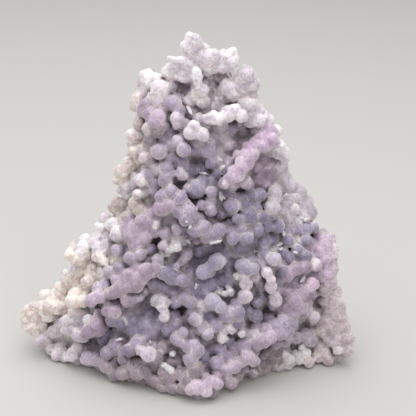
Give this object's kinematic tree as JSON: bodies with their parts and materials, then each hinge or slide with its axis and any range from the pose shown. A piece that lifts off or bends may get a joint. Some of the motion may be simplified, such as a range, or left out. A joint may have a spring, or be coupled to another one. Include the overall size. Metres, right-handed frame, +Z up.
{
  "type": "grape agate specimen",
  "caption": "Free-standing botryoidal purple chalcedony cluster: a tapering mass of small grape-like balls in ridges and hollows, on a flat sawn foot.",
  "frame": {"origin": "on the surface it stands on, under the middle of the stone's box", "axes": "+Z up through the crown, +X to the right of the stone's front, and the front with its nose faces -Y"},
  "size_m": [0.128, 0.0632, 0.1266],
  "materials": {
    "chalcedony": "frosted, waxy, slightly translucent"
  },
  "bodies": {
    "root": {"grape_agate": "chalcedony"}
  },
  "joints": []
}
